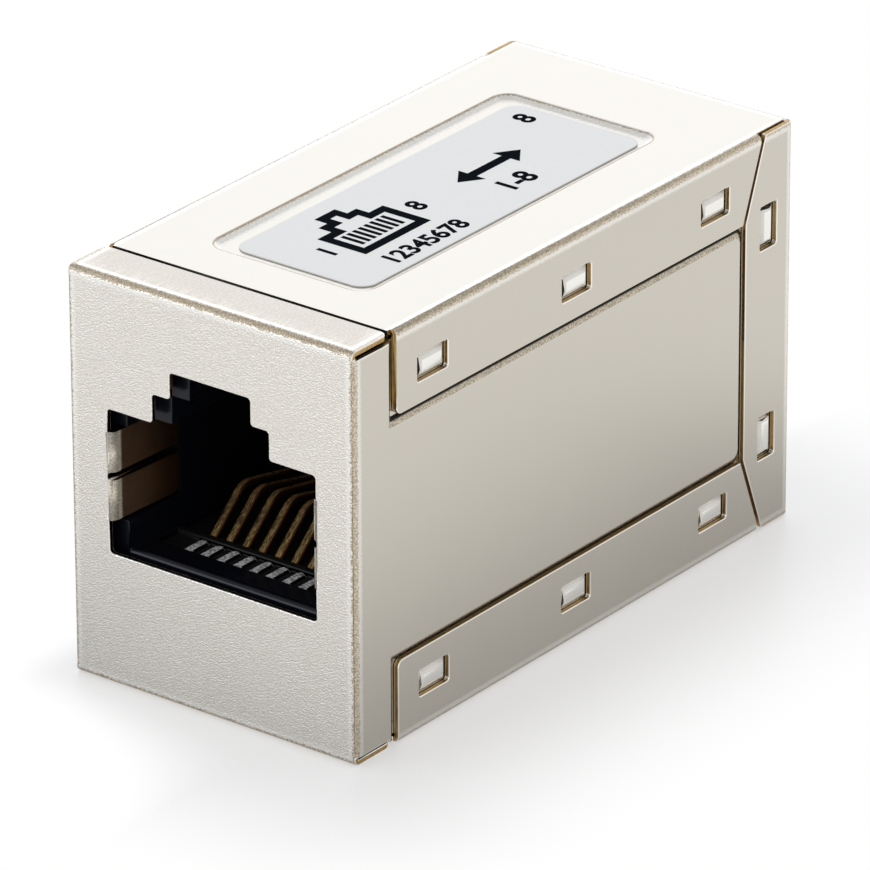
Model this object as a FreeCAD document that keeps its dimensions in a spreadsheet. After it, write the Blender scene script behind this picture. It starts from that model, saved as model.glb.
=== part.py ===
import FreeCAD, Part
import os
import re

import Sketcher

# Shielded RJ45 inline coupler: two jacks back to back on one circuit board, inside a folded
# sheet-metal can of two halves.  Each jack has a black housing, a comb insert and eight wires.
# The origin is at the middle of the underside, +Z is up, and the two ports face -Y and +Y.
# Everything on the -Y half is drawn in place, and its twin on the +Y half is turned about Z.

Vector = FreeCAD.Vector

SIZES = {
    # the can: outer size, sheet, outer bend radius, gap between laid sheets, gap at butted edges
    "length": 36.0,
    "width": 17.7,
    "height": 22.0,
    "sheet": 0.3,
    "bend": 0.35,
    "nest": 0.03,
    "seam": 0.1,
    # front shell: strips folded over the top and bottom, and the joggled side panels
    "strip_depth": 2.9,
    "strip_inset": 0.12,
    "strip_gap": 0.2,
    "strip_corner": 0.5,
    "side_gap": 0.15,
    "front_band": 2.73,
    "joggle": 0.4,
    "panel_corner": 0.5,
    # rear shell: side flaps folded from its top and bottom, and flaps folded from its back
    "flap_start": 3.31,
    "flap_depth": 4.45,
    "flap_tail": 4.25,
    "flap_root": 2.73,
    "flap_corner": 0.4,
    "back_flap": 4.0,
    "back_flap_end": 2.35,
    "back_flap_bevel": 4.5,
    # windows in the flaps, and the dimples of the side panels that snap into them
    "window_long": 2.42,
    "window_short": 1.45,
    "window_corner": 0.1,
    "window_edge": 1.85,
    "window_first": 4.95,
    "window_pitch": 11.59,
    "back_window_edge": 1.34,
    "back_window_pitch": 11.65,
    "dimple_gap": 0.12,
    "dimple_slope": 0.3,
    # the shallow tray pressed into the top, and the label that is stuck a little to one side in it
    "tray_width": 9.9,
    "tray_length": 24.3,
    "tray_depth": 0.22,
    "tray_slope": 0.4,
    "tray_corner": 0.95,
    "label_width": 8.25,
    "label_length": 22.8,
    "label_shift": 0.3,
    "label_corner": 0.9,
    "label_thick": 0.08,
    # port cut-out in the sheet: main window, then two steps for the plug's latch
    "port_floor": 7.15,
    "port_width": 12.88,
    "port_height": 7.77,
    "step_width": 7.22,
    "step_rise": 1.55,
    "latch_width": 4.98,
    "latch_rise": 1.44,
    "port_corner": 0.2,
    # ground tabs curled in from both sides of the port, leaning towards the plug
    "tab_floor": 8.9,
    "tab_height": 4.76,
    "tab_relief": 0.16,
    "tab_bend": 0.45,
    "tab_lean": 0.29,
    "tab_reach": 4.75,
    "tab_slot": 0.43,
    "tab_corner": 0.5,
    # jack housing: its cavity is smaller than the cut-out by the margins
    "fit": 0.05,
    "jack_gap": 0.35,
    "plug_margin": 0.6,
    "roof_margin": 0.2,
    "floor_margin": 0.15,
    "jack_depth": 13.0,
    "latch_ledge": 1.85,
    "tab_room": 0.15,
    "roof_drop": 0.25,
    "lip_depth": 1.55,
    "lip_round": 0.35,
    # circuit board
    "board_under": 3.1,
    "board_thick": 1.6,
    "board_width": 14.6,
    "board_length": 30.0,
    "hole_radius": 0.42,
    "post_radius": 0.75,
    "post_spread": 12.6,
    "post_place": 8.5,
    "post_room": 0.08,
    # comb insert
    "insert_width": 10.6,
    "comb_drop": 0.2,
    "insert_wall": 2.4,
    "ridge_place": 3.85,
    "ridge_width": 0.4,
    "ridge_rise": 0.25,
    "slot_gap": 0.05,
    # contact wires: eight, on the modular jack's pitch
    "contact_pitch": 1.016,
    "wire_width": 0.46,
    "wire_thick": 0.3,
    "wire_sink": 0.08,
    "tip_place": 2.5,
    "tip_length": 1.95,
    "tip_width": 0.6,
    "arch_place": 6.9,
    "arch_rise": 2.13,
    "arch_radius": 1.1,
    "knee_radius": 0.4,
    "heel_rise": 0.55,
    "tail_place": 13.7,
    "tail_stagger": 1.2,
    "tail_stick": 0.8,
}
CONTACTS = 8
WINDOWS = 3

doc = FreeCAD.newDocument("rj45_inline_coupler")
sheet = doc.addObject("Spreadsheet::Sheet", "Sizes")
for row, (alias, number) in enumerate(SIZES.items(), start=1):
    sheet.set(f"A{row}", alias)
    sheet.set(f"B{row}", str(number))
    sheet.setAlias(f"B{row}", alias)
doc.recompute()


# ---------------------------------------------------------------- drawing helpers

def bound(text):
    """Turn each size's name in a formula into a reference to its cell."""
    return re.sub(r"[a-z_]+", lambda m: f"Sizes.{m[0]}" if m[0] in SIZES else m[0], str(text))


def value(text):
    """The number that a formula of sizes gives now."""
    return float(sheet.evalExpression(bound(text)))


def new_body(name, turned=False):
    """A body whose label is its node's name; a turned one belongs to the +Y half."""
    body = doc.addObject("PartDesign::Body", name)
    body.Label = name
    if turned:
        body.Placement = FreeCAD.Placement(Vector(), FreeCAD.Rotation(Vector(0, 0, 1), 180))
    return body


def origin(body, role):
    return next(item for item in body.Origin.OriginFeatures if item.Role == role)


def new_sketch(body, name, plane, place):
    """A sketch on an origin plane of the body, moved along the plane's axis to place."""
    sketch = body.newObject("Sketcher::SketchObject", name)
    sketch.AttachmentSupport = [(origin(body, plane + "_Plane"), "")]
    sketch.MapMode = "FlatFace"
    offset = f"-({place})" if plane == "XZ" else place
    sketch.setExpression(".AttachmentOffset.Base.z", bound(offset))
    return sketch


def draw_line(sketch, corners, rounds, closed):
    """Lines through corners given as formulas; rounds maps a corner's number to its radius."""
    tag = sketch.GeometryCount
    points = [Vector(value(u), value(v), 0) for u, v in corners]
    ends = points[1:] + points[:1] if closed else points[1:]
    lines = [sketch.addGeometry(Part.LineSegment(a, b)) for a, b in zip(points, ends)]
    followers = lines[1:] + lines[:1] if closed else lines[1:]
    for line, follower in zip(lines, followers):
        sketch.addConstraint(Sketcher.Constraint("Coincident", line, 2, follower, 1))
    handles = [(line, 1) for line in lines] + ([] if closed else [(lines[-1], 2)])
    for number, (handle, point) in enumerate(zip(handles, points)):
        for kind, size in (("X", point.x), ("Y", point.y)):
            index = sketch.addConstraint(Sketcher.Constraint("Distance" + kind, -1, 1, *handle, size))
            sketch.renameConstraint(index, f"{kind}{tag}_{number}")
    for number, radius in rounds.items():
        arc = sketch.GeometryCount
        sketch.fillet(lines[number - 1], 2, value(radius), True, True)
        index = sketch.addConstraint(Sketcher.Constraint("Radius", arc, value(radius)))
        sketch.renameConstraint(index, f"R{tag}_{number}")
        sketch.setExpression(f"Constraints.R{tag}_{number}", bound(radius))
    for number, (u, v) in enumerate(corners):
        sketch.setExpression(f"Constraints.X{tag}_{number}", bound(u))
        sketch.setExpression(f"Constraints.Y{tag}_{number}", bound(v))


def draw_circle(sketch, u, v, radius):
    tag = sketch.GeometryCount
    circle = sketch.addGeometry(Part.Circle(Vector(value(u), value(v), 0), Vector(0, 0, 1), value(radius)))
    for kind, size in (("X", u), ("Y", v)):
        index = sketch.addConstraint(Sketcher.Constraint("Distance" + kind, -1, 1, circle, 3, value(size)))
        sketch.renameConstraint(index, f"{kind}{tag}_c")
        sketch.setExpression(f"Constraints.{kind}{tag}_c", bound(size))
    index = sketch.addConstraint(Sketcher.Constraint("Radius", circle, value(radius)))
    sketch.renameConstraint(index, f"R{tag}_c")
    sketch.setExpression(f"Constraints.R{tag}_c", bound(radius))


def rectangle(u_low, u_high, v_low, v_high):
    return [(u_low, v_low), (u_high, v_low), (u_high, v_high), (u_low, v_high)]


def cut_rectangle(u_low, u_high, v_low, v_high, cut):
    """A small rectangle whose round corners are drawn as one straight cut each."""
    return [(f"{u_low} + {cut}", v_low), (f"{u_high} - {cut}", v_low),
            (u_high, f"{v_low} + {cut}"), (u_high, f"{v_high} - {cut}"),
            (f"{u_high} - {cut}", v_high), (f"{u_low} + {cut}", v_high),
            (u_low, f"{v_high} - {cut}"), (u_low, f"{v_low} + {cut}")]


def every_corner(radius):
    return dict.fromkeys(range(4), radius)


def slab(body, name, plane, low, high, outlines, cut=False, circles=()):
    """Add or cut outlines drawn across an axis, from low to high along it."""
    sketch = new_sketch(body, name + "_outline", plane, high if plane == "XZ" else low)
    for corners, rounds in outlines:
        draw_line(sketch, corners, rounds, True)
    for circle in circles:
        draw_circle(sketch, *circle)
    feature = body.newObject("PartDesign::Pocket" if cut else "PartDesign::Pad", name)
    feature.Profile = sketch
    feature.Type = 0
    feature.setExpression("Length", bound(f"({high}) - ({low})"))
    feature.Reversed = cut
    doc.recompute()
    return feature


def loft(body, name, plane, low, high, low_outline, high_outline, cut=False):
    """Add or cut a body with straight sides between two outlines along an axis."""
    sections = []
    for end, place, outline in (("low", low, low_outline), ("high", high, high_outline)):
        sections.append(new_sketch(body, f"{name}_{end}", plane, place))
        draw_line(sections[-1], *outline, True)
    doc.recompute()
    feature = body.newObject("PartDesign::SubtractiveLoft" if cut else "PartDesign::AdditiveLoft", name)
    feature.Profile = sections[0]
    feature.Sections = sections[1:]
    feature.Ruled = True
    doc.recompute()
    return feature


def mirrored(body, name, features, role="YZ_Plane"):
    """Copy features to the other side of an origin plane."""
    mirror = body.newObject("PartDesign::Mirrored", name)
    mirror.Originals = features
    mirror.MirrorPlane = (origin(body, role), [""])
    body.Tip = mirror
    doc.recompute()
    return mirror


def fillet(body, name, radius, wanted):
    """Round every straight edge whose two ends are wanted."""
    base = body.Tip
    edges = []
    for number, edge in enumerate(base.Shape.Edges, start=1):
        ends = [vertex.Point for vertex in edge.Vertexes]
        if len(ends) == 2 and isinstance(edge.Curve, Part.Line) and wanted(*ends):
            edges.append(f"Edge{number}")
    feature = body.newObject("PartDesign::Fillet", name)
    feature.Base = (base, edges)
    feature.setExpression("Radius", bound(radius))
    doc.recompute()
    return feature


def near(number, text):
    return abs(number - value(text)) < 1e-4


# ---------------------------------------------------------------- places that several pieces share

FRONT = "-length / 2"
SIDE = "width / 2"
SIDE_LOW = "sheet + side_gap"
SIDE_HIGH = "height - sheet - side_gap"
PORT_ROOF = "(port_floor + port_height)"
STEP_ROOF = "(port_floor + port_height + step_rise)"
LATCH_ROOF = "(port_floor + port_height + step_rise + latch_rise)"
BOARD_TOP = "(board_under + board_thick)"
JACK_FLOOR = "(port_floor + floor_margin)"
JACK_FRONT = "(tab_bend + jack_gap - length / 2)"
COMB_TOP = "(port_floor + floor_margin - comb_drop)"
WIRE_LEVEL = "(port_floor + floor_margin - comb_drop - wire_sink)"
BAY_FRONT = "(tab_bend + jack_gap + lip_depth - length / 2)"
INSERT_FACE = "(jack_depth - length / 2)"


def port_outline(side="0", top="0", low="0"):
    """The stepped port: the sheet's cut-out, made smaller by margins at its sides, roofs and floor."""
    half = f"(port_width / 2 - {side})"
    step = f"(step_width / 2 - {side})"
    latch = f"(latch_width / 2 - {side})"
    floor = f"port_floor + {low}"
    roof = f"{PORT_ROOF} - {top}"
    step_roof = f"{STEP_ROOF} - {top}"
    latch_roof = f"{LATCH_ROOF} - {top}"
    right = [(half, floor), (half, roof), (step, roof),
             (step, step_roof), (latch, step_roof), (latch, latch_roof)]
    return right + [(f"-{u}", v) for u, v in reversed(right)]


def window_outlines(shrink):
    """The eight windows of one side, as rectangles in Y and Z measured from the shell's own plate."""
    frames = []
    for number in range(WINDOWS):
        start = f"length / 2 - window_first - {number} * window_pitch"
        for low, high in (("window_edge", "window_edge + window_short"),
                          ("height - window_edge - window_short", "height - window_edge")):
            frames.append((f"{start} - window_long", start, low, high))
    for sign in ("+", "-"):
        middle = f"height / 2 {sign} back_window_pitch / 2"
        frames.append(("back_window_edge - length / 2", "back_window_edge + window_short - length / 2",
                       f"{middle} - window_long / 2", f"{middle} + window_long / 2"))
    return [(f"{u0} + {shrink}", f"{u1} - {shrink}", f"{v0} + {shrink}", f"{v1} - {shrink}")
            for u0, u1, v0, v1 in frames]


def ported_plate(body):
    """Cut the port through the shell's plate, and curl a split ground tab in from each side of it."""
    stamped = port_outline()
    rounds = dict.fromkeys(range(len(stamped)), "port_corner")
    slab(body, "port", "XZ", FRONT, f"{FRONT} + sheet", [(stamped, rounds)], cut=True)
    root = "(port_width / 2 + tab_relief)"
    face = f"({root} - tab_bend)"
    tip = f"({face} - tab_lean)"
    relief = rectangle("port_width / 2 - port_corner", root, "tab_floor", "tab_floor + tab_height")
    cuts = [slab(body, "tab_relief_cut", "XZ", FRONT, f"{FRONT} + sheet", [(relief, {})], cut=True)]
    profile = [(f"{root} + seam", FRONT), (face, FRONT), (tip, f"{FRONT} + tab_reach"),
               (f"{tip} + sheet", f"{FRONT} + tab_reach"), (f"{face} + sheet", f"{FRONT} + sheet"),
               (f"{root} + seam", f"{FRONT} + sheet")]
    cuts.append(slab(body, "ground_tab", "XY", "tab_floor", "tab_floor + tab_height",
                     [(profile, {1: "tab_bend", 4: "tab_bend - sheet"})]))
    middle = "(tab_floor + tab_height / 2)"
    slot = rectangle(f"{tip} - seam", f"{root} - tab_slot / 4",
                     f"{middle} - tab_slot / 2", f"{middle} + tab_slot / 2")
    rounds = {1: "tab_slot * 0.45", 2: "tab_slot * 0.45"}
    cuts.append(slab(body, "tab_slot_cut", "XZ", FRONT, f"{FRONT} + tab_reach + seam",
                     [(slot, rounds)], cut=True))
    mirrored(body, "other_tab", cuts)
    fillet(body, "tab_corners", "tab_corner",
           lambda a, b: all(near(p.y, f"{FRONT} + tab_reach") and
                            (near(p.z, "tab_floor") or near(p.z, "tab_floor + tab_height")) for p in (a, b)))


# ---------------------------------------------------------------- shield, front shell

def side_outline(level):
    """The raised part of a side panel at the foot (1) or the top (0) of its joggle, in Y and Z."""
    run = f"{level} * joggle"
    band = f"({FRONT} + front_band + {run})"
    low = f"(flap_depth + nest + joggle - {run})"
    high = f"(height - flap_depth - nest - joggle + {run})"
    back = f"(length / 2 - back_flap - seam - joggle + {run})"
    front = f"({FRONT} + bend)"
    corners = [(front, SIDE_LOW), (band, SIDE_LOW), (band, low), (back, low),
               (back, high), (band, high), (band, SIDE_HIGH), (front, SIDE_HIGH)]
    return corners, {3: "panel_corner", 4: "panel_corner"}


def hollow_outline(level):
    """The inner face of the same raised part, square to it by one sheet thickness."""
    inset = "sheet * tan(atan((sheet + nest) / joggle) / 2)"
    run = f"({level} * joggle - {inset})"
    band = f"({FRONT} + front_band + {run})"
    low = f"(flap_depth + nest + joggle - {run})"
    high = f"(height - flap_depth - nest - joggle + {run})"
    back = f"(length / 2 - back_flap - seam - joggle + {run})"
    front = f"({FRONT} + sheet)"
    corners = [(front, "0"), (band, "0"), (band, low), (back, low),
               (back, high), (band, high), (band, "height"), (front, "height")]
    return corners, {3: "panel_corner", 4: "panel_corner"}


def front_shell():
    """Front plate, two short strips over the top and bottom, and two long joggled side panels."""
    body = new_body("shield_front_shell")
    turn = f"({FRONT} + bend + seam)"
    inner = "width / 2 - sheet"
    half = [(SIDE, FRONT), (SIDE, turn), (inner, turn), (inner, f"{FRONT} + sheet")]
    band = half + [(f"-({u})", v) for u, v in reversed(half)]
    slab(body, "front_plate", "XY", SIDE_LOW, SIDE_HIGH, [(band, {0: "bend", 7: "bend"})])
    under = "(width / 2 - sheet - nest - sheet)"
    laid = rectangle(f"{FRONT} + front_band", "length / 2 - sheet - seam", SIDE_LOW, SIDE_HIGH)
    right_side = [slab(body, "laid_panel", "YZ", under, f"{under} + sheet", [(laid, {})]),
                  loft(body, "raised_panel", "YZ", f"{under} + sheet", SIDE,
                       side_outline(1), side_outline(0)),
                  loft(body, "panel_hollow", "YZ", under, f"{SIDE} - sheet",
                       hollow_outline(1), hollow_outline(0), cut=True)]
    for number, (u0, u1, v0, v1) in enumerate(window_outlines("dimple_gap")):
        foot = rectangle(f"-({u1})", f"-({u0})", v0, v1)
        top = rectangle(f"-({u1}) + dimple_slope", f"-({u0}) - dimple_slope",
                        f"{v0} + dimple_slope", f"{v1} - dimple_slope")
        right_side.append(loft(body, f"dimple_{number}", "YZ", f"{under} + sheet", f"{SIDE} - nest",
                               (foot, {}), (top, {})))
    mirrored(body, "other_side", right_side)
    across = "(width / 2 - strip_inset)"
    bent = [(FRONT, SIDE_HIGH), (FRONT, "height"), (turn, "height"), (turn, "height - sheet"),
            (f"{FRONT} + sheet", "height - sheet"), (f"{FRONT} + sheet", SIDE_HIGH)]
    flat = rectangle(f"-{across}", across, turn, f"{FRONT} + strip_depth")
    for name, level in (("top", "height - ({})"), ("bottom", "{}")):
        profile = [(u, level.format(f"height - ({v})")) for u, v in bent]
        slab(body, name + "_bend", "YZ", f"-{across}", across, [(profile, {1: "bend"})])
        faces = sorted((level.format("0"), level.format("sheet")), key=value)
        slab(body, name + "_strip", "XY", *faces, [(flat, {2: "strip_corner", 3: "strip_corner"})])
    ported_plate(body)
    return body


# ---------------------------------------------------------------- shield, rear shell

def rear_shell():
    """Back plate, full top and bottom panels with windowed side flaps, and flaps round the back."""
    body = new_body("shield_rear_shell", turned=True)
    across = "(width / 2 - sheet - seam)"
    reach = "(length / 2 - strip_depth - strip_gap)"
    inner = "width / 2 - sheet"
    wrap = [(reach, "0"), (FRONT, "0"), (FRONT, "height"), (reach, "height"), (reach, "height - sheet"),
            (f"{FRONT} + sheet", "height - sheet"), (f"{FRONT} + sheet", "sheet"), (reach, "sheet")]
    slab(body, "wrap", "YZ", f"-{across}", across, [(wrap, {1: "bend", 2: "bend"})])
    root = f"({FRONT} + flap_root)"
    start = "length / 2 - flap_start"
    turn = "(bend + seam)"
    frames = [(cut_rectangle(*frame, "window_corner"), {}) for frame in window_outlines("0")]
    flap = [(root, turn), (start, turn), (start, "flap_depth"), (f"{FRONT} + flap_tail", "flap_depth")]
    bent = [(across, "0"), (SIDE, "0"), (SIDE, turn), (inner, turn), (inner, "sheet"), (across, "sheet")]
    flaps = []
    for name, level, first in (("low", "{}", 0), ("high", "height - ({})", 1)):
        profile = [(u, level.format(v)) for u, v in bent]
        flaps.append(slab(body, name + "_flap_bend", "XZ", root, start, [(profile, {1: "bend"})]))
        outline = [(u, level.format(v)) for u, v in flap]
        flaps.append(slab(body, name + "_flap", "YZ", inner, SIDE,
                          [(outline, {2: "flap_corner"})] + frames[first:2 * WINDOWS:2]))
    turn = f"({FRONT} + bend + seam)"
    bent = [(across, FRONT), (SIDE, FRONT), (SIDE, turn), (inner, turn), (inner, f"{FRONT} + sheet"),
            (across, f"{FRONT} + sheet")]
    flaps.append(slab(body, "back_flap_bend", "XY", "seam", "height - seam", [(bent, {1: "bend"})]))
    tail = [(turn, "seam"), (f"{FRONT} + back_flap_end", "seam"), (f"{FRONT} + back_flap", "back_flap_bevel")]
    tail += [(u, f"height - {v}") for u, v in reversed(tail)]
    flaps.append(slab(body, "back_flap_panel", "YZ", inner, SIDE, [(tail, {})] + frames[2 * WINDOWS:]))
    mirrored(body, "other_side", flaps)
    ported_plate(body)
    label_tray(body)
    return body


def tray_outline(shrink):
    half_width = f"(tray_width / 2 - {shrink})"
    half_length = f"(tray_length / 2 - {shrink})"
    corners = rectangle(f"-{half_width}", half_width, f"-{half_length}", half_length)
    return corners, every_corner(f"tray_corner - {shrink}")


def label_tray(body):
    """A shallow tray pressed into the top panel, with sloped sides, one sheet thick all over."""
    floor = "height - tray_depth"
    foot, rim = tray_outline("tray_slope"), tray_outline("0")
    loft(body, "tray_back", "XY", f"{floor} - sheet", "height - sheet", foot, rim)
    loft(body, "tray_hollow", "XY", floor, "height", foot, rim, cut=True)


def label():
    """A film with round corners that lies on the tray's floor."""
    body = new_body("label")
    corners = rectangle("label_shift - label_width / 2", "label_shift + label_width / 2",
                        "-label_length / 2", "label_length / 2")
    floor = "height - tray_depth"
    slab(body, "paper", "XY", floor, f"{floor} + label_thick", [(corners, every_corner("label_corner"))])
    return body


# ---------------------------------------------------------------- jack housing

def housing(name, turned):
    """A moulded block: stepped plug cavity, bays for the insert and board, pockets for the tabs."""
    body = new_body(name, turned)
    half = "(width / 2 - sheet - nest - sheet - fit)"
    low = "(sheet + fit)"
    block = rectangle(f"-{half}", half, low, "height - sheet - roof_drop - fit")
    slab(body, "block", "XZ", JACK_FRONT, "-fit", [(block, {})])
    slab(body, "cavity", "XZ", JACK_FRONT, INSERT_FACE,
         [(port_outline("plug_margin", "roof_margin", "floor_margin"), {})], cut=True)
    chamber = rectangle("plug_margin - step_width / 2", "step_width / 2 - plug_margin",
                        f"{PORT_ROOF} - roof_margin", f"{LATCH_ROOF} - roof_margin")
    slab(body, "latch_chamber", "XZ", f"{JACK_FRONT} + latch_ledge", INSERT_FACE, [(chamber, {})], cut=True)
    leaf = "(port_width / 2 + tab_relief - tab_bend + sheet)"
    inner = "port_width / 2 - plug_margin - tab_room"
    heights = ("tab_floor - tab_room", "tab_floor + tab_height + tab_room")
    pocket = rectangle(inner, f"{leaf} + tab_room", *heights)
    end = f"{FRONT} + tab_reach + tab_room"
    mirrored(body, "other_pocket",
             [slab(body, "tab_pocket", "XZ", JACK_FRONT, end, [(pocket, {})], cut=True)])
    bay = "(insert_width / 2 + fit)"
    slab(body, "insert_bay", "XZ", f"{BAY_FRONT} - fit", "0",
         [(rectangle(f"-{bay}", bay, f"{BOARD_TOP} - fit", f"{JACK_FLOOR} + fit"), {})], cut=True)
    slab(body, "back_bay", "XZ", f"{INSERT_FACE} - fit", "0",
         [(rectangle(f"-{bay}", bay, BOARD_TOP, f"{PORT_ROOF} - roof_margin"), {})], cut=True)
    board = "(board_width / 2 + fit)"
    slab(body, "board_bay", "XZ", "-board_length / 2 - fit", "0",
         [(rectangle(f"-{board}", board, "0", f"{BOARD_TOP} + fit"), {})], cut=True)
    posts = [(f"{side} * post_spread / 2", "-post_place", "post_radius") for side in (-1, 1)]
    slab(body, "posts", "XY", "board_under - fit", f"{BOARD_TOP} + fit + seam", [], circles=posts)
    fillet(body, "lip", "lip_round",
           lambda a, b: all(near(p.y, JACK_FRONT) and near(p.z, JACK_FLOOR) for p in (a, b)))
    return body


# ---------------------------------------------------------------- comb insert

def repeat_across(body, name, features):
    """One copy of the features for each contact, on the contact pitch."""
    pattern = body.newObject("PartDesign::LinearPattern", name)
    pattern.Originals = features
    pattern.Direction = (origin(body, "X_Axis"), [""])
    pattern.setExpression("Length", bound(f"{CONTACTS - 1} * contact_pitch"))
    pattern.Occurrences = CONTACTS
    body.Tip = pattern
    doc.recompute()


def insert(name, turned):
    """An L of black plastic: a comb floor under the plug and a slotted wall behind it."""
    body = new_body(name, turned)
    half = "insert_width / 2"
    back = f"({INSERT_FACE} + insert_wall)"
    top = f"{PORT_ROOF} - roof_margin - fit"
    profile = [(BAY_FRONT, BOARD_TOP), (back, BOARD_TOP), (back, top),
               (INSERT_FACE, top), (INSERT_FACE, COMB_TOP), (BAY_FRONT, COMB_TOP)]
    slab(body, "comb_block", "YZ", f"-{half}", half, [(profile, {})])
    ridge = f"({FRONT} + ridge_place)"
    slab(body, "ridge", "XZ", ridge, f"{ridge} + ridge_width",
         [(rectangle(f"-{half}", half, f"{COMB_TOP} - seam", f"{COMB_TOP} + ridge_rise"), {})])
    first = f"(-{CONTACTS - 1} / 2 * contact_pitch)"
    wide = (f"{first} - tip_width / 2 - slot_gap", f"{first} + tip_width / 2 + slot_gap")
    slot = (f"{first} - wire_width / 2 - slot_gap", f"{first} + wire_width / 2 + slot_gap")
    level = (f"{WIRE_LEVEL} - wire_thick / 2 - slot_gap", f"{WIRE_LEVEL} + wire_thick / 2 + slot_gap")
    knee = f"{FRONT} + tip_place + tip_length + wire_thick + seam"
    heel = f"{WIRE_LEVEL} + heel_rise + wire_thick + arch_rise / 6"
    cuts = [slab(body, slot_name, "XZ", low, high, [(rectangle(*outline), {})], cut=True)
            for slot_name, low, high, outline in (("tip_slot", BAY_FRONT, ridge, wide + level),
                                                  ("wire_slot", ridge, knee, slot + level),
                                                  ("tail_slot", INSERT_FACE, back, slot + (BOARD_TOP, heel)))]
    repeat_across(body, "slots", cuts)
    return body


# ---------------------------------------------------------------- circuit board

def tail_row(number):
    """Distance from the front to a contact's tail: odd and even contacts stand in two rows."""
    return f"({FRONT} + tail_place + {number % 2} * tail_stagger)"


def contact_place(number):
    return f"({number - 1} - {CONTACTS - 1} / 2) * contact_pitch"


def drilled_hole(u, v):
    """A hole for a tail, with eight sides, since there are so many of them."""
    return [(f"{u} + hole_radius * cos({turn} deg)", f"{v} + hole_radius * sin({turn} deg)")
            for turn in (22.5 + 45 * side for side in range(8))]


def circuit_board():
    """One board under both jacks, drilled for the tails and for the housings' posts."""
    body = new_body("circuit_board")
    board = rectangle("-board_width / 2", "board_width / 2", "-board_length / 2", "board_length / 2")
    slab(body, "laminate", "XY", "board_under", BOARD_TOP, [(board, {})])
    tails = [(drilled_hole(contact_place(number), tail_row(number)), {}) for number in range(1, CONTACTS + 1)]
    posts = [(f"{side} * post_spread / 2", "-post_place", "post_radius + post_room") for side in (-1, 1)]
    drilled = slab(body, "holes", "XY", "board_under", BOARD_TOP, tails, cut=True, circles=posts)
    turned = body.newObject("PartDesign::PolarPattern", "holes_both_ends")
    turned.Originals = [drilled]
    turned.Axis = (origin(body, "Z_Axis"), [""])
    turned.Angle = 360
    turned.Occurrences = 2
    body.Tip = turned
    doc.recompute()
    return body


# ---------------------------------------------------------------- contact wires

def contact(name, number, turned):
    """One sprung wire: flat tip in the comb, arch that meets the plug, heel, and soldered tail."""
    body = new_body(name, turned)
    base = body.Placement.Rotation
    body.Placement = FreeCAD.Placement(base.multVec(Vector(value(contact_place(number)), 0, 0)), base)
    sign = "-1" if turned else "1"
    body.setExpression(".Placement.Base.x", bound(f"{sign} * {contact_place(number)}"))
    tip = f"({FRONT} + tip_place)"
    knee = f"({tip} + tip_length)"
    heel = f"({WIRE_LEVEL} + heel_rise)"
    tail = tail_row(number)
    route = [(tip, WIRE_LEVEL), (knee, WIRE_LEVEL), (f"({FRONT} + arch_place)", f"{WIRE_LEVEL} + arch_rise"),
             (tail, heel), (tail, "board_under - tail_stick")]
    path = new_sketch(body, "path", "YZ", "0")
    draw_line(path, route, {1: "knee_radius", 2: "arch_radius", 3: "knee_radius"}, False)
    section = new_sketch(body, "section", "XZ", tip)
    draw_line(section, rectangle("-wire_width / 2", "wire_width / 2", f"{WIRE_LEVEL} - wire_thick / 2",
                                 f"{WIRE_LEVEL} + wire_thick / 2"), {}, True)
    doc.recompute()
    wire = body.newObject("PartDesign::AdditivePipe", "wire")
    wire.Profile = section
    wire.Spine = (path, [])
    doc.recompute()
    flat = rectangle("-tip_width / 2", "tip_width / 2", f"{WIRE_LEVEL} - wire_thick / 2",
                     f"{WIRE_LEVEL} + wire_thick / 2")
    slab(body, "flattened_tip", "XZ", tip, f"{FRONT} + ridge_place - slot_gap", [(flat, {})])
    return body


# ---------------------------------------------------------------- the whole coupler

nodes = [front_shell(), rear_shell(), label(), circuit_board()]
for end, turned in (("front", False), ("rear", True)):
    nodes.append(housing(f"{end}_jack_housing", turned))
    nodes.append(insert(f"{end}_contact_insert", turned))
    for number in range(1, CONTACTS + 1):
        nodes.append(contact(f"{end}_contact_{number}", number, turned))

doc.recompute()
broken = [item.Name for item in doc.Objects if "Invalid" in item.State or "Error" in item.State]
broken += [node.Label for node in nodes if node.Shape.isNull() or not node.Shape.isValid()]
if broken:
    raise RuntimeError("not built: " + ", ".join(broken))

os.makedirs("parts", exist_ok=True)
for node in nodes:
    node.Shape.exportStep(f"parts/{node.Label}.step")
    box = node.Shape.BoundBox
    print(f"{node.Label}: {len(node.Shape.Solids)} solid, {node.Shape.Volume:.2f} mm3,",
          f"x {box.XMin:.2f} {box.XMax:.2f} y {box.YMin:.2f} {box.YMax:.2f} z {box.ZMin:.2f} {box.ZMax:.2f}")
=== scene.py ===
import math

import bmesh
import bpy
from mathutils import Matrix, Vector
from mathutils.bvhtree import BVHTree


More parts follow.
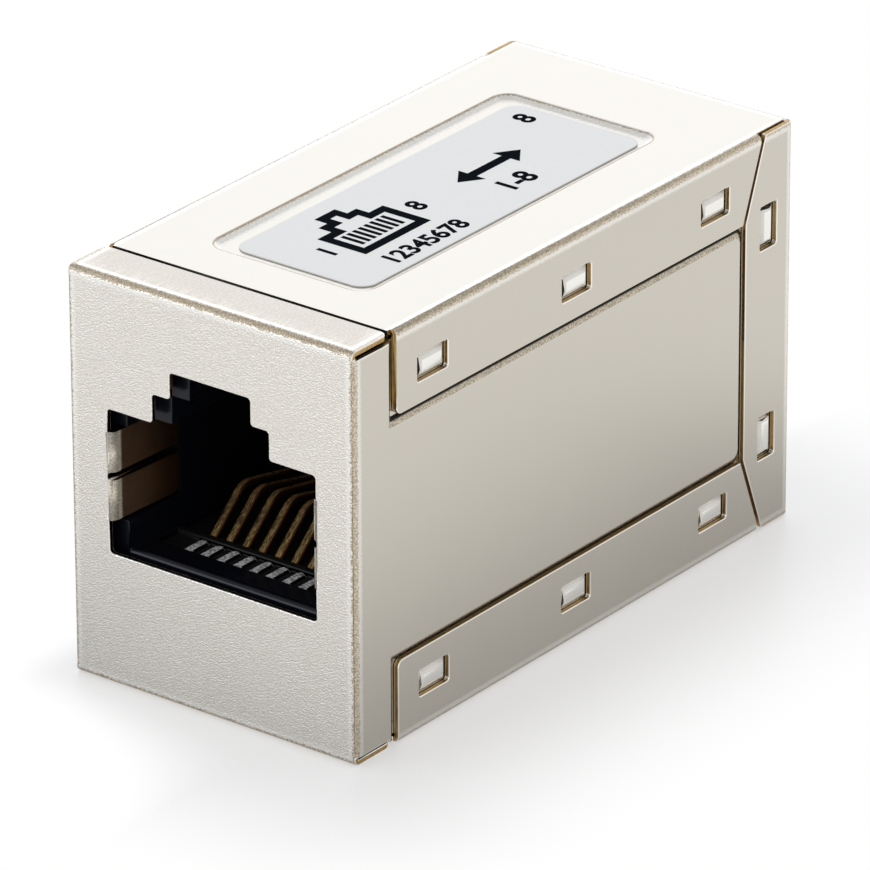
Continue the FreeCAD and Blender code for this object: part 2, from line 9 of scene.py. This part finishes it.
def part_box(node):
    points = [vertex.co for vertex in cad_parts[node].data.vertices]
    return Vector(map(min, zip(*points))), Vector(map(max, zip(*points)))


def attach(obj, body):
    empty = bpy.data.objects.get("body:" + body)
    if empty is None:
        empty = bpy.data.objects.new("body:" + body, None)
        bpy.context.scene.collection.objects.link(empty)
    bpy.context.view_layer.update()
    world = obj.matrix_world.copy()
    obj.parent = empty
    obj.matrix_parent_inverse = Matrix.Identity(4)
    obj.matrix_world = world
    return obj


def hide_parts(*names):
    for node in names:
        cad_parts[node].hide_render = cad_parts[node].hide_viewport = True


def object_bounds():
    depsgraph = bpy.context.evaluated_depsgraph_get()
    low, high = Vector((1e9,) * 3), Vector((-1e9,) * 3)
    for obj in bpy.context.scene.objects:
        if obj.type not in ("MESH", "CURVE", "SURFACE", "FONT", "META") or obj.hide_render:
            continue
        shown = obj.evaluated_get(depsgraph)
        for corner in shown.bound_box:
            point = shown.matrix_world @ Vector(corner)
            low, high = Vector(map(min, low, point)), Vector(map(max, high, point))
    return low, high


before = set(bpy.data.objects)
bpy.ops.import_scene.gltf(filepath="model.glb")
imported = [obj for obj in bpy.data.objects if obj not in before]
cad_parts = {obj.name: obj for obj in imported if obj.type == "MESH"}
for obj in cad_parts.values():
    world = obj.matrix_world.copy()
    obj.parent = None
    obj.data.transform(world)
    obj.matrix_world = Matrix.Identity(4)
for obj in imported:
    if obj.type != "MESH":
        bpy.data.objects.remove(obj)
cad_low, cad_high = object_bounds()

# ---------------------------------------------------------------- the shield's two shells
# Two blanks of pre-plated brass strip, sheared, folded and joggled, that snap into each other
# by dimples and windows.  The nickel is satin, with a blasted grain on the two port plates and
# speckled bands along every fold, darker partly from the stretched plating and partly as painted
# shade; painted highlight lines run beside them, and the sheared edges show the bare brass.

mm = 0.001
middle = (cad_low + cad_high) / 2
reach = (cad_high - cad_low) / 2
sheet = 0.3 * mm
dimple_sunk = 0.03 * mm
dimple_round = 0.2 * mm
press_round = 0.09 * mm
shear_round = 0.05 * mm
stray_limit = 0.06 * mm
near_top = 21 * mm
tab_bend_depth = 17.3 * mm
tab_bend_inner = 4.2 * mm
tab_bend_outer = 7 * mm
tab_bend_foot = 8.3 * mm
tab_bend_head = 14.3 * mm

# In millimetres, as the finishes read them: the end of the front shell's top strip, the seam
# behind it, the port's half width, half height and middle, and the specks of the nickel.
strip_end = 2.95
seam_place = 3.0
half_port_width = 6.7
half_port_height = 6.0
port_middle = 11.0
speck_size = 0.085

NICKEL = (0.66, 0.62, 0.545)
BLASTED = (0.98, 0.955, 0.915)
STRIP = (0.555, 0.51, 0.44)
TRAY_RIM = (0.46, 0.38, 0.28)
TRAY_WALL = (0.96, 0.93, 0.87)
STRETCHED_AND_SHADED = (0.66, 0.57, 0.44)
POLISHED_AND_HIGHLIGHT = (0.92, 0.90, 0.85)
JOGGLE = (0.50, 0.44, 0.35)
GROOVE_SHADE = (0.02, 0.018, 0.014)
TAB_BEND = (0.95, 0.86, 0.70)
TAB_SHADE_FRONT = (0.60, 0.40, 0.27)
TAB_SHADE_BACK = (0.20, 0.12, 0.07)
BRASS = (0.56, 0.36, 0.13)
SHADED_BRASS = (0.03, 0.025, 0.02)
WHITE = (1.0, 1.0, 1.0)


class Value:
    """A shader value; a sum with it adds Math nodes to its finish."""

    def __init__(self, finish, socket):
        self.finish = finish
        self.socket = socket

    def __add__(self, other):
        return self.finish.math("ADD", self, other)

    def __sub__(self, other):
        return self.finish.math("SUBTRACT", self, other)

    def __rsub__(self, other):
        return self.finish.math("SUBTRACT", other, self)

    def __mul__(self, other):
        return self.finish.math("MULTIPLY", self, other)

    def __gt__(self, other):
        return self.finish.math("GREATER_THAN", self, other)

    def __lt__(self, other):
        return self.finish.math("LESS_THAN", self, other)

    def __abs__(self):
        return self.finish.math("ABSOLUTE", self)

    __radd__, __rmul__ = __add__, __mul__


class Finish:
    """The nodes of one material or world, built as sums of values in the piece's own coordinates."""

    def __init__(self, name, kind="materials", shader="Principled BSDF", **constants):
        self.owner = getattr(bpy.data, kind).new(name)
        self.owner.use_nodes = True
        self.tree = self.owner.node_tree
        self.shader = self.tree.nodes[shader]
        self.show(**constants)
        self.place = self.node("ShaderNodeTexCoord", {}, {}, "Object")

    def show(self, **inputs):
        """Set the shader's own sockets."""
        self.join(self.shader, {name.replace("_", " "): given for name, given in inputs.items()})

    def join(self, node, inputs):
        """Give a node's sockets their values, or link them."""
        for name, given in inputs.items():
            socket = node.inputs[name]
            if isinstance(given, Value):
                self.tree.links.new(given.socket, socket)
            elif socket.type == "RGBA":
                socket.default_value = (*given, 1.0)
            else:
                socket.default_value = given

    def node(self, kind, settings, inputs, output=0):
        """Any node: its settings come first, then its sockets, and one output is handed back."""
        node = self.tree.nodes.new(kind)
        for name, setting in settings.items():
            setattr(node, name, setting)
        self.join(node, inputs)
        return Value(self, node.outputs[output])

    def math(self, operation, *numbers):
        """One Math node."""
        return self.node("ShaderNodeMath", {"operation": operation}, dict(enumerate(numbers)))

    def mix(self, share, first, second, kind="MIX"):
        """A colour between two, or their product."""
        return self.node("ShaderNodeMix", {"data_type": "RGBA", "blend_type": kind},
                         {0: share, 6: first, 7: second}, 2)

    def tint(self, colour, low, high, share):
        """The colour times low where share is 0, and times high where it is 1."""
        return self.mix(share, [part * low for part in colour], [part * high for part in colour])

    def axis(self, name):
        """A place along an axis, in millimetres."""
        return self.node("ShaderNodeSeparateXYZ", {}, {0: self.place}, name) * 1000.0

    def grain(self, size, detail=2.0, stretch=(1.0, 1.0, 1.0)):
        """Noise from 0 to 1 whose grains are about size across, in millimetres."""
        place = self.node("ShaderNodeMapping", {}, {"Vector": self.place, "Scale": stretch})
        return self.node("ShaderNodeTexNoise", {},
                         {"Vector": place, "Scale": 1000.0 / size, "Detail": detail})

    def rise(self, value, start, end):
        """0 below start and 1 above end, and smooth between them."""
        return self.node("ShaderNodeMapRange", {"interpolation_type": "SMOOTHSTEP"},
                         {"Value": value, "From Min": start, "From Max": end})

    def mark(self, name):
        """A number that the piece carries on its faces."""
        return self.node("ShaderNodeAttribute", {"attribute_name": name}, {}, "Fac")

    def relief(self, height, depth):
        """Bumps of a depth in millimetres."""
        return self.node("ShaderNodeBump", {}, {"Strength": 1.0, "Distance": depth * mm, "Height": height})


def merged_copy(node):
    """A CAD solid's mesh with its facets joined at their corners."""
    shape = bmesh.new()
    shape.from_mesh(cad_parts[node].data)
    bmesh.ops.remove_doubles(shape, verts=shape.verts, dist=1e-7)
    return shape


def whole_faces(shape):
    """Join flat facets to whole faces."""
    bmesh.ops.dissolve_limit(shape, angle_limit=math.radians(0.6), verts=shape.verts, edges=shape.edges,
                             delimit={"MATERIAL"})


def rounded(shape, edges, radius, segments=2):
    """Round edges and give the new faces."""
    return bmesh.ops.bevel(shape, geom=edges, offset=radius, offset_type="OFFSET", affect="EDGES",
                           segments=segments, profile=0.5, material=-1, clamp_overlap=False)["faces"]


def turned_by(edge, least):
    """Whether an edge's two faces meet at more than an angle in degrees."""
    return edge.is_manifold and edge.calc_face_angle() > math.radians(least)


def at_dimple_top(place):
    """Whether a place is level with the tops of the front shell's dimples."""
    return abs(reach.x - abs(place.x) - dimple_sunk) < 0.01 * mm


def at_tab_bend(place):
    """Whether a place is where a ground tab leaves the side of its port."""
    return (abs(place.y) > tab_bend_depth and tab_bend_inner < abs(place.x) < tab_bend_outer
            and tab_bend_foot < place.z < tab_bend_head)


def made(shape, name, *finishes):
    """Turn a finished shape into an object."""
    mesh = bpy.data.meshes.new(name)
    shape.to_mesh(mesh)
    shape.free()
    for finish in finishes:
        mesh.materials.append(finish.owner)
    piece = bpy.data.objects.new(name, mesh)
    bpy.context.scene.collection.objects.link(piece)
    return piece


def placed(shape, name, node, slot, *finishes):
    """Make a finished shape the piece that stands for its CAD node."""
    for face in shape.faces:
        face.smooth = True
    piece = made(shape, name, *finishes)
    evened = piece.modifiers.new("evened", "WEIGHTED_NORMAL")
    evened.keep_sharp = True
    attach(piece, "root")
    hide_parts(node)


nickel = Finish("satin_nickel")
polish = nickel.mark("polish")
slope = nickel.mark("slope")

# How deep a place lies below the can's sides, its ends, and its top and underside.  The middle
# one of the three is small only beside a fold.
beside, before, above = (float(half) / mm - abs(nickel.axis(name) - float(centre) / mm)
                         for name, half, centre in zip("XYZ", reach, middle))
to_fold = nickel.math("MAXIMUM", nickel.math("MINIMUM", beside, before),
                      nickel.math("MINIMUM", nickel.math("MAXIMUM", beside, before), above))

specks = nickel.rise(nickel.grain(speck_size, 2.0), 0.32, 0.68)
sparks = nickel.rise(nickel.grain(speck_size, 2.0), 0.50, 0.70)
clouds = nickel.grain(3.2, 3.0)
rolled = nickel.grain(0.5, 3.0, (1.0, 1.0, 0.06))
pulled = (nickel.rise(nickel.grain(0.22, 2.0, (1.0, 0.12, 1.0)), 0.4, 0.6)
          * (1.0 - nickel.rise(to_fold, 0.5, 1.6)))

ragged = to_fold + (specks - 0.5) * 0.12 - (above < 0.1) * 0.06
fold = 1.0 - nickel.rise(ragged, 0.20, 0.32)
# A painted highlight: a pale line just outside each fold band.
highlight_rim = nickel.rise(ragged, 0.22, 0.32) * (1.0 - nickel.rise(ragged, 0.40, 0.60))
joggle = slope * (above > 1.0) * (before > 1.0)
blasted = before < 0.1
strip = (nickel.axis("Y") < cad_low.y / mm + strip_end) * (above < 0.05)
tray = slope * (above < 0.3) * (beside > 1.0)
in_port = (beside > 2.15) * (above > 5.0)
tab_bend = in_port * (before > 0.04)
tab = in_port * nickel.rise(before + specks * 0.1, 0.62, 0.75)
dimple_flank = polish * slope

tone = specks * (0.08 + (blasted + slope) * 0.5) + clouds * 0.2 + rolled * 0.1
plating = nickel.tint(NICKEL, 0.94, 1.10, tone)
plating = nickel.mix(blasted * (0.32 + sparks * 0.38), plating, BLASTED)
plating = nickel.mix(strip, plating, nickel.tint(STRIP, 0.86, 1.14, specks * 0.7 + pulled * 0.5))
plating = nickel.mix(tray, plating, nickel.mix(nickel.rise(above + specks * 0.04, 0.05, 0.10), TRAY_RIM,
                                               nickel.tint(TRAY_WALL, 0.88, 1.04, specks)))
# Along each fold a darker beige band: partly stretched plating, partly painted shade of the dim
# surroundings the bend mirrors.
plating = nickel.mix(fold, plating, nickel.tint(STRETCHED_AND_SHADED, 0.64, 1.18, specks))
# Rounded cut edges and dimple tops are polished nickel; the pale lines beside the folds are painted
# highlight in the same colour.
plating = nickel.mix(1.0 - (1.0 - polish) * (1.0 - highlight_rim * 0.7), plating,
                     nickel.tint(POLISHED_AND_HIGHLIGHT, 0.92, 1.06, clouds))
# At the foot of each joggle, in the groove beside the flap, the slope is painted nearly black as painted
# shade; higher up it is a darker beige.
groove_shade_share = nickel.rise(beside + (nickel.axis("Z") > port_middle) * 0.10, 0.22, 0.28)
plating = nickel.mix(joggle * (1.0 - polish), plating,
                     nickel.mix(groove_shade_share, nickel.tint(JOGGLE, 0.60, 1.25, specks), GROOVE_SHADE))
plating = nickel.mix(tab_bend, plating, nickel.tint(TAB_BEND, 0.62, 1.05, specks))
# The ground tabs' nickel leaves inside the port are painted brown, darkening to near black towards the
# back: painted shade.
shaded_leaf = nickel.mix(nickel.rise(before, 1.2, 4.4), TAB_SHADE_FRONT, TAB_SHADE_BACK)
plating = nickel.mix(tab, plating,
                     nickel.mix(1.0, shaded_leaf, nickel.tint(WHITE, 0.75, 1.2, clouds), "MULTIPLY"))
nickel.show(Base_Color=plating, Metallic=1.0 - dimple_flank * 0.8 - tab_bend * (1.0 - tab) * 0.6,
            Roughness=(0.24 + blasted * 0.08 + fold * 0.10 + (clouds - 0.5) * 0.06 - polish * 0.06
                       + tab_bend * 0.2 + tray * 0.2 + dimple_flank * 0.25),
            Normal=nickel.relief(specks * (0.08 + blasted * 2.4 + fold * 0.8 + slope * 0.5)
                                 + rolled * 0.12, 0.005))

# The cut edges are painted nearly black in the seam across the top and in the ports: painted shade.
brass = Finish("sheared_brass", Metallic=1.0)
shear = brass.grain(0.10, 3.0, (1.0, 0.35, 0.35))
seam = ((brass.axis("Z") > cad_high.z / mm - 0.35)
        * (abs(brass.axis("Y") - cad_low.y / mm - seam_place) < 0.15))
port = (abs(brass.axis("X")) < half_port_width) * (abs(brass.axis("Z") - port_middle) < half_port_height)
brass.show(Base_Color=brass.mix(1.0 - (1.0 - seam) * (1.0 - port), brass.tint(BRASS, 0.45, 1.35, shear),
                                SHADED_BRASS),
           Roughness=0.30 + shear * 0.2, Normal=brass.relief(shear, 0.01))

for end in ("front", "rear"):
    shape = merged_copy(f"shield_{end}_shell")
    solid = BVHTree.FromBMesh(shape)

    # A ray inwards from a cut edge runs along the sheet, so it goes further than the sheet is thick.
    for face in shape.faces:
        start = face.calc_center_median() - face.normal * sheet * 0.01
        depth = solid.ray_cast(start, -face.normal)[3] or 0.0
        face.material_index = int(depth > 2.6 * sheet)
    whole_faces(shape)

    slopes = shape.faces.layers.float.new("slope")
    polishes = shape.faces.layers.float.new("polish")
    for face in shape.faces:
        if face.material_index == 0 and max(abs(part) for part in face.normal) < 0.9:
            face[slopes] = 1.0
        if end == "front" and at_dimple_top(face.calc_center_median()) and abs(face.normal.x) > 0.99:
            for near in {face} | {other for edge in face.edges for other in edge.link_faces}:
                near.material_index = 0
                near[polishes] = 1.0
                near[slopes] = float(near != face)

    domes = [edge for edge in shape.edges if turned_by(edge, 20)
             and all(at_dimple_top(corner.co) for corner in edge.verts)
             and all(face[polishes] for face in edge.link_faces)]
    rounded(shape, domes, dimple_round, 4)
    pressed = [edge for edge in shape.edges if turned_by(edge, 20) and not turned_by(edge, 70)
               and not any(face.material_index or face[polishes] for face in edge.link_faces)]
    rounded(shape, pressed, press_round, 3)

    # The rear shell's edge in the top seam stays sharp, and so do the edges beside the tabs.
    sheared = [edge for edge in shape.edges if turned_by(edge, 35)
               and any(face.material_index for face in edge.link_faces)
               and not any(face.normal.y < -0.9 and face.calc_center_median().z > near_top
                           for face in edge.link_faces if end == "rear")
               and not all(at_tab_bend(corner.co) for corner in edge.verts)]
    for face in rounded(shape, sheared, shear_round):
        face[slopes] = 0.0
        face[polishes] = 1.0
        face.material_index = 0

    # Corners that the rounding threw off the solid go back to it.
    for corner in shape.verts:
        spot, _, _, off = solid.find_nearest(corner.co)
        if off > stray_limit:
            corner.co = spot
    placed(shape, f"{end}_shield", f"shield_{end}_shell", "nickel_plate", nickel, brass)

# ---------------------------------------------------------------- label
# A small rectangle of pale grey polyester film, die-cut with round corners and stuck in the tray.
# Its black screen print shows a port, its pins by number, and a double arrow, since each pin
# leads straight through to the same pin of the other port.

FILM = (0.83, 0.83, 0.815)
INK = (0.006, 0.008, 0.011)
ink_thickness = 0.006 * mm
ink_gap = 0.001 * mm
outline_width = 0.55 * mm
film_round = 0.02 * mm

# In millimetres: the bars that stand for the pins.  As parts of a digit's height: its letter
# size, and how much its strokes are thickened.
first_bar_left = -7.25
first_bar_right = -6.99
bar_step = 0.45
letter_size = 1.4
boldness = 0.042

film = Finish("label_film", Coat_Weight=0.15)
weave = film.grain(0.35, 4.0)
film.show(Base_Color=film.tint(FILM, 0.97, 1.03, weave), Roughness=0.30 + weave * 0.1,
          Normal=film.relief(weave, 0.002))
shape = merged_copy("label")
whole_faces(shape)
rounded(shape, [edge for edge in shape.edges if turned_by(edge, 60)], film_round)
placed(shape, "label_sheet", "label", "label_film", film)

ink = Finish("black_ink", Specular_IOR_Level=0.0)
dots = ink.grain(0.12, 3.0)
ink.show(Base_Color=ink.tint(INK, 0.6, 1.8, dots), Roughness=0.55 + dots * 0.2,
         Normal=ink.relief(dots, 0.003))
shape = bmesh.new()


def printed(corners):
    """A patch of ink; each corner is a place along the label and one up its print, in millimetres."""
    return shape.faces.new([shape.verts.new((-up * mm, along * mm, 0)) for along, up in corners])


def bar(left, right, low, high):
    """A rectangle of ink."""
    printed([(left, low), (right, low), (right, high), (left, high)])


def figures(words, left, low, size):
    """Digits of a height in millimetres, set as curves and then made a mesh."""
    curve = bpy.data.curves.new("figures", "FONT")
    curve.body = words
    curve.size = size * letter_size
    curve.offset = boldness * size
    holder = bpy.data.objects.new("figures", curve)
    bpy.context.scene.collection.objects.link(holder)
    mesh = bpy.data.meshes.new_from_object(holder.evaluated_get(bpy.context.evaluated_depsgraph_get()))
    bpy.data.objects.remove(holder)
    old = len(shape.verts)
    shape.from_mesh(mesh)
    shape.verts.ensure_lookup_table()
    for corner in shape.verts[old:]:
        corner.co = Vector((-(low + corner.co.y) * mm, (left + corner.co.x) * mm, 0))


port_sign = printed([(-8.1, -1.9), (-2.9, -1.9), (-2.9, 1.1), (-4.0, 1.1), (-4.0, 1.9), (-4.7, 1.9),
                     (-4.7, 2.7), (-6.3, 2.7), (-6.3, 1.9), (-7.0, 1.9), (-7.0, 1.1), (-8.1, 1.1)])
port_sign.normal_update()
bmesh.ops.inset_region(shape, faces=[port_sign], use_boundary=True, use_even_offset=True,
                       thickness=outline_width)
bmesh.ops.delete(shape, geom=[port_sign], context="FACES_ONLY")
for pin in range(8):
    bar(first_bar_left + pin * bar_step, first_bar_right + pin * bar_step, -1.05, 0.35)
figures("1", -9.4, -0.75, 1.15)
figures("8", -2.3, -0.75, 1.15)
figures("12345678", -8.2, -3.75, 1.1)
printed([(1.6, -0.1), (2.8, -0.95), (2.8, -0.38), (5.6, -0.38), (5.6, -0.95), (6.8, -0.1), (5.6, 0.75),
         (5.6, 0.18), (2.8, 0.18), (2.8, 0.75)])
figures("1-8", 2.3, -2.9, 1.3)
figures("8", 9.7, 1.6, 1.2)
thick = bmesh.ops.extrude_face_region(shape, geom=shape.faces[:])["geom"]
bmesh.ops.translate(shape, verts=[item for item in thick if isinstance(item, bmesh.types.BMVert)],
                    vec=(0, 0, ink_thickness))
bmesh.ops.translate(shape, verts=shape.verts, vec=(0, 0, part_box("label")[1].z + ink_gap))
bmesh.ops.recalc_face_normals(shape, faces=shape.faces)
piece = made(shape, "label_print", ink)
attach(piece, "root")

# ---------------------------------------------------------------- jack housings
# Two glossy black thermoplastic mouldings, pushed back to back over the board, with a round lip
# along the floor of the port where the plug slides in.

MOULDING = (0.004, 0.005, 0.009)
lip_round = 0.06 * mm
mouth = 17 * mm

moulded = Finish("black_moulding", Coat_Weight=0.05, Coat_Roughness=0.12, Specular_IOR_Level=0.27)
pits = moulded.grain(0.25, 4.0)
moulded.show(Base_Color=moulded.tint(MOULDING, 0.7, 1.5, pits), Roughness=0.18 + pits * 0.10,
             Normal=moulded.relief(pits, 0.004))
for end in ("front", "rear"):
    shape = merged_copy(f"{end}_jack_housing")
    whole_faces(shape)
    rounded(shape, [edge for edge in shape.edges if turned_by(edge, 35)
                    and (abs(edge.verts[0].co.x - edge.verts[1].co.x) > 0.9 * edge.calc_length()
                         or any(abs(corner.co.y) > mouth for corner in edge.verts))], lip_round)
    placed(shape, f"{end}_jack", f"{end}_jack_housing", "housing_plastic", moulded)

# ---------------------------------------------------------------- comb inserts
# An L of matt black plastic, slid into a bay of each housing: its floor keeps the tips of the
# wires apart, and its slotted wall leads their tails down to the board.

MATT_BLACK = (0.005, 0.005, 0.006)
comb_round = 0.04 * mm

matt = Finish("matt_black")
dust = matt.grain(0.18, 4.0)
matt.show(Base_Color=matt.tint(MATT_BLACK, 0.6, 1.8, dust), Roughness=0.42 + dust * 0.2,
          Normal=matt.relief(dust, 0.008))
for end in ("front", "rear"):
    shape = merged_copy(f"{end}_contact_insert")
    whole_faces(shape)
    rounded(shape, [edge for edge in shape.edges if turned_by(edge, 35)], comb_round)
    placed(shape, f"{end}_comb", f"{end}_contact_insert", "insert_plastic", matt)

# ---------------------------------------------------------------- contact wires
# Eight sprung wires in each jack, cut from gold-plated phosphor bronze strip, so that their
# flanks are bare; the flattened tips are tinned.

GOLD = (0.92, 0.68, 0.30)
SHADED_ARC_GOLD = (0.88, 0.49, 0.20)
TIN = (1.0, 1.0, 1.0)
BRONZE = (0.28, 0.13, 0.05)
SHADED_TIP_FLANK = (0.05, 0.05, 0.055)
tip_end = 4.0
wire_round = 0.09 * mm

gold = Finish("gold_over_bronze")
drawn = gold.rise(gold.grain(0.05, 2.0, (1.0, 0.2, 0.2)), 0.34, 0.66)
solder = gold.rise(gold.grain(0.16, 2.0), 0.38, 0.56)
from_plate = cad_high.y / mm - abs(gold.axis("Y"))
tinned = 1.0 - gold.rise(from_plate, tip_end - 0.1, tip_end + 0.1)
# Beyond the top of each wire's arc the gold is painted browner and less metallic: painted shade deep
# inside the jack.
arc_shade = gold.rise(from_plate, 5.6, 7.2)
wire = gold.mix(arc_shade, gold.tint(GOLD, 0.30, 1.08, drawn), gold.tint(SHADED_ARC_GOLD, 0.45, 1.1, drawn))
wire = gold.mix(tinned, wire, gold.tint(TIN, 0.36, 1.0, solder))
gold.show(Base_Color=wire, Metallic=1.0 - tinned * 0.9 - arc_shade * 0.5,
          Roughness=0.28 + tinned * 0.12 + drawn * 0.1,
          Normal=gold.relief(drawn + tinned * solder * 2.0, 0.015))

bronze = Finish("bare_bronze", Metallic=1.0)
torn = bronze.grain(0.10, 3.0)
# The bare flanks beside the tinned tips are painted nearly black: painted shade in the comb's slots.
tip = cad_high.y / mm - abs(bronze.axis("Y")) < tip_end
bronze.show(Base_Color=bronze.mix(tip, bronze.tint(BRONZE, 0.6, 1.4, torn), SHADED_TIP_FLANK),
            Roughness=0.35 + torn * 0.2, Normal=bronze.relief(torn, 0.008))

for end in ("front", "rear"):
    for number in range(1, 9):
        shape = merged_copy(f"{end}_contact_{number}")
        whole_faces(shape)
        for face in shape.faces:
            face.material_index = int(abs(face.normal.x) > 0.7)
        for face in rounded(shape, [edge for edge in shape.edges if turned_by(edge, 50)], wire_round):
            face.material_index = int(abs(face.normal.x) > 0.35)
        placed(shape, f"{end}_wire_{number}", f"{end}_contact_{number}", "contact_gold", gold, bronze)

# ---------------------------------------------------------------- circuit board
# One board of green glass-fibre laminate under both jacks, drilled for the wires' tails and for
# the housings' posts, with straight copper tracks side by side under its mask.

MASK = (0.010, 0.10, 0.035)
MASK_ON_COPPER = (0.05, 0.22, 0.06)
pin_pitch = 1.016
half_track = 0.12
board_round = 0.03 * mm

laminate = Finish("green_laminate", Roughness=0.35, Coat_Weight=0.3, Coat_Roughness=0.2)
fibre = laminate.grain(0.3, 3.0)
track = laminate.math("PINGPONG", laminate.axis("X") + 4 * pin_pitch, pin_pitch / 2) < half_track
laminate.show(Base_Color=laminate.mix(track * 0.6, laminate.tint(MASK, 0.8, 1.2, fibre), MASK_ON_COPPER),
              Normal=laminate.relief(track * 0.6 + fibre * 0.2, 0.02))
shape = merged_copy("circuit_board")
whole_faces(shape)
rounded(shape, [edge for edge in shape.edges if turned_by(edge, 60)], board_round)
placed(shape, "printed_board", "circuit_board", "board_laminate", laminate)

# ---------------------------------------------------------------- table, light and camera
# A glossy white table that runs on into the white of the room, under a grey ceiling; one wide
# soft lamp behind the object, a smaller and brighter one at its front left, and a long lens.

TABLE = (0.92, 0.92, 0.92)
LAMPLIGHT = (0.88, 0.96, 1.12)
table_drop = 0.01 * mm
table_half = 4.0


def seen_by(finish):
    """Whether the camera sees a surface itself, and whether it is seen in a glossy one."""
    camera_ray = finish.node("ShaderNodeLightPath", {}, {}, "Is Camera Ray")
    return camera_ray, Value(finish, camera_ray.socket.node.outputs["Is Glossy Ray"])


# The table glows white away from the object, so that only the shadow round its foot is left,
# and it glows sooner to the object's left as painted light from that side; metal mirrors it
# less brightly near the object and at its left, a painted shade in the reflection.
ground = Finish("white_table", Roughness=0.32)
ground.show(Base_Color=TABLE)
sides = [ground.math("MAXIMUM", abs(ground.axis(name)) - float(edge) / mm, 0.0)
         for name, edge in (("X", reach.x), ("Y", reach.y))]
away = ground.math("POWER", sides[0] * sides[0] + sides[1] * sides[1], 0.5)
left = 0.0 - ground.axis("X")
forward = 0.0 - ground.axis("Y")
shaded = ground.rise(left, 6.0, 22.0) * (1.0 - ground.rise(forward, 36.0, 60.0))
lit = away * (1.0 + ground.math("MAXIMUM", left + 4.0, 0.0) * 0.25)
camera_ray, glossy_ray = seen_by(ground)
glow = ground.node("ShaderNodeEmission", {}, {
    "Color": WHITE,
    "Strength": camera_ray + glossy_ray * (0.46 + 0.54 * ground.rise(away, -4.0, 24.0) - shaded * 0.21)})
share = camera_ray * (0.42 + 0.58 * ground.rise(lit, 0.5, 14.5)) + glossy_ray * 0.9
bare = Value(ground, ground.shader.outputs[0])
surface = ground.node("ShaderNodeMixShader", {}, {0: share, 1: bare, 2: glow})
ground.join(ground.tree.nodes["Material Output"], {"Surface": surface})
shape = bmesh.new()
bmesh.ops.create_grid(shape, x_segments=1, y_segments=1, size=table_half,
                      matrix=Matrix.Translation((0, 0, -table_drop)))
table = made(shape, "table", ground)

room = Finish("white_room", "worlds", "Background")
bpy.context.scene.world = room.owner
camera_ray, glossy_ray = seen_by(room)
sight = room.node("ShaderNodeTexCoord", {}, {}, "Generated")
upward = room.node("ShaderNodeSeparateXYZ", {}, {0: sight}, "Z")
ceiling = room.rise(upward, 0.46, 0.58)
room.show(Color=WHITE, Strength=(camera_ray + glossy_ray * (1.0 - ceiling * 0.45)
                                 + (1.0 - camera_ray - glossy_ray) * 0.75))


def turned(azimuth, elevation):
    """A turn that points an object's back away from the middle, at angles in degrees."""
    return (Matrix.Rotation(math.radians(azimuth), 4, "Z")
            @ Matrix.Rotation(math.radians(90 - elevation), 4, "X"))


def lamp(name, azimuth, elevation, distance, size, brightness):
    """A soft square lamp, a little cold, aimed at the object's middle."""
    data = bpy.data.lights.new(name, "AREA")
    data.shape = "SQUARE"
    data.size = size
    data.energy = brightness * math.pi * size ** 2
    data.color = LAMPLIGHT
    holder = bpy.data.objects.new(name, data)
    bpy.context.scene.collection.objects.link(holder)
    holder.matrix_world = (Matrix.Translation(middle) @ turned(azimuth, elevation)
                           @ Matrix.Translation((0, 0, distance)))
    holder.visible_camera = False


lamp("far_lamp", azimuth=217.5, elevation=30, distance=0.5, size=0.40, brightness=0.6)
lamp("side_lamp", azimuth=318, elevation=10, distance=0.5, size=0.30, brightness=1.7)

lens = bpy.data.cameras.new("camera")
lens.lens = 373.04
lens.sensor_width = 36.0
lens.clip_start = 0.05
lens.clip_end = 20
aim = turned(azimuth=37.536, elevation=24.878) @ Matrix.Rotation(math.radians(-0.235), 4, "Z")
set_back = Matrix.Translation((-0.10 * mm, -2.135 * mm, 449.7 * mm))
camera = bpy.data.objects.new("camera", lens)
bpy.context.scene.collection.objects.link(camera)
camera.matrix_world = Matrix.Translation(middle) @ aim @ set_back
bpy.context.scene.camera = camera
bpy.context.scene.view_settings.view_transform = "Standard"
